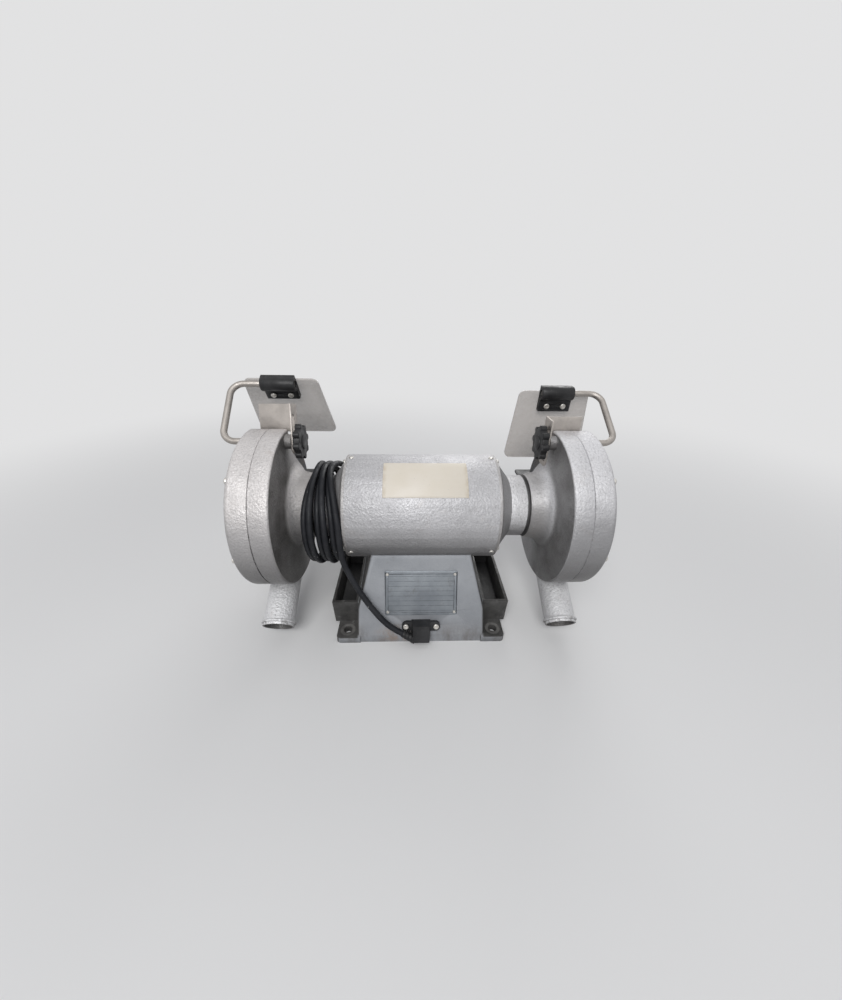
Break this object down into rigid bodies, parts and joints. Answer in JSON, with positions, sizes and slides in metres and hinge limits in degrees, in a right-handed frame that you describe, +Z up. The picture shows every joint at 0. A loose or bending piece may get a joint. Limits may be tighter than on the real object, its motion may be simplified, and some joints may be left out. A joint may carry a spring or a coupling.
{
  "type": "bench grinder",
  "caption": "Bench grinder with guarded wheels on a motor spindle, cast pedestal with side trays, dust outlets, eye shields on bent rods and a mains lead wound round one neck",
  "frame": {"origin": "on the bench, in the middle of the four foot holes", "axes": "+X along the spindle, +Y to the operator's side, +Z up"},
  "size_m": [0.502, 0.2362, 0.3248],
  "materials": {
    "casting_paint": "silver-grey speckled paint",
    "pedestal_paint": "silver-grey paint, worn and dirty low down",
    "plated_steel": "zinc plated",
    "sheet_steel": "galvanised",
    "ground_steel": "ground",
    "black_plastic": "moulded",
    "clear_plastic": "clear, hazed",
    "cord_rubber": "matte sheath",
    "brass": "plain",
    "copper": "enamelled copper wire",
    "core_steel": "laminated",
    "abrasive": "vitrified grit",
    "plate_metal": "bare plate",
    "label": "cream film",
    "white_plastic": "moulded",
    "green_plastic": "moulded",
    "red_plastic": "moulded",
    "rest_paint": "black paint"
  },
  "bodies": {
    "base": {"pedestal": "pedestal_paint", "base_cover": "plated_steel", "base_cover_screws": "plated_steel", "motor_body": "casting_paint", "saddle_screws": "plated_steel", "stator_core": "core_steel", "stator_windings": "copper", "bearing_outer_rings": "ground_steel", "bearing_balls": "ground_steel", "end_shield_left": "casting_paint", "end_shield_right": "casting_paint", "tie_screws": "plated_steel", "guard_left": "casting_paint", "guard_right": "casting_paint", "guard_cover_left": "casting_paint", "guard_cover_right": "casting_paint", "cover_screws": "plated_steel", "guard_bolts": "plated_steel", "dust_outlet_left": "casting_paint", "dust_outlet_right": "casting_paint", "rest_bolts": "plated_steel", "nameplate": "plate_metal", "nameplate_rivets": "plated_steel", "sticker": "label", "strain_relief": "black_plastic", "strain_relief_screws": "plated_steel", "cord_lead": "cord_rubber", "cord_winding": "cord_rubber", "cord_tail": "cord_rubber", "plug": "cord_rubber", "plug_pins": "brass", "switch_housing": "black_plastic", "switch_screws": "plated_steel", "capacitor": "white_plastic", "terminal_block": "white_plastic"},
    "spindle": {"shaft": "ground_steel", "rotor": "core_steel", "bearing_inner_rings": "ground_steel", "wheel_left": "abrasive", "wheel_right": "abrasive", "wheel_flanges": "ground_steel", "spindle_nuts": "plated_steel"},
    "rod_left": {"shield_rod_left": "plated_steel"},
    "shield_left": {"shield_clamp_left": "black_plastic", "clamp_screws_left": "plated_steel", "eye_shield_left": "clear_plastic"},
    "knob_left": {"knob_left": "black_plastic"},
    "arrestor_left": {"arrestor_left": "sheet_steel"},
    "rest_left": {"tool_rest_left": "rest_paint"},
    "rod_right": {"shield_rod_right": "plated_steel"},
    "shield_right": {"shield_clamp_right": "black_plastic", "clamp_screws_right": "plated_steel", "eye_shield_right": "clear_plastic"},
    "knob_right": {"knob_right": "black_plastic"},
    "arrestor_right": {"arrestor_right": "sheet_steel"},
    "rest_right": {"tool_rest_right": "rest_paint"},
    "start_button": {"start_button": "green_plastic"},
    "stop_button": {"stop_button": "red_plastic"}
  },
  "joints": [
    {"name": "spindle_spin", "type": "hinge", "parent": "base", "child": "spindle", "pos_m": [0, 0, 0.163], "axis": [1, 0, 0], "continuous": true},
    {"name": "shield_rod_left_swivel", "type": "hinge", "parent": "base", "child": "rod_left", "pos_m": [-0.19, -0.004, 0.256], "axis": [1, 0, 0], "range_deg": [-21, 39]},
    {"name": "eye_shield_left_tilt", "type": "hinge", "parent": "rod_left", "child": "shield_left", "pos_m": [-0.187, 0.05591, 0.31345], "axis": [1, 0, 0], "range_deg": [-5, 60]},
    {"name": "knob_left_turn", "type": "hinge", "parent": "base", "child": "knob_left", "pos_m": [-0.19, -0.004, 0.256], "axis": [1, 0, 0], "range_deg": [0, 360]},
    {"name": "arrestor_left_slide", "type": "slide", "parent": "base", "child": "arrestor_left", "axis": [0, 0.2588, 0.9659], "range_m": [-0.0125, 0.0035]},
    {"name": "tool_rest_left_slide", "type": "slide", "parent": "base", "child": "rest_left", "axis": [0, 1, 0], "range_m": [0, 0.012]},
    {"name": "shield_rod_right_swivel", "type": "hinge", "parent": "base", "child": "rod_right", "pos_m": [0.19, -0.004, 0.256], "axis": [1, 0, 0], "range_deg": [0, 44]},
    {"name": "eye_shield_right_tilt", "type": "hinge", "parent": "rod_right", "child": "shield_right", "pos_m": [0.187, 0.06448, 0.30289], "axis": [1, 0, 0], "range_deg": [0, 75]},
    {"name": "knob_right_turn", "type": "hinge", "parent": "base", "child": "knob_right", "pos_m": [0.19, -0.004, 0.256], "axis": [1, 0, 0], "range_deg": [0, 360]},
    {"name": "arrestor_right_slide", "type": "slide", "parent": "base", "child": "arrestor_right", "axis": [0, 0, 1], "range_m": [0, 0.016]},
    {"name": "tool_rest_right_slide", "type": "slide", "parent": "base", "child": "rest_right", "axis": [0, 1, 0], "range_m": [0, 0.012]},
    {"name": "start_button_press", "type": "slide", "parent": "base", "child": "start_button", "axis": [0, -0.9511, -0.309], "range_m": [0, 0.003], "stiffness_N_per_m": 800},
    {"name": "stop_button_press", "type": "slide", "parent": "base", "child": "stop_button", "axis": [0, -0.9511, -0.309], "range_m": [0, 0.003], "stiffness_N_per_m": 800}
  ]
}
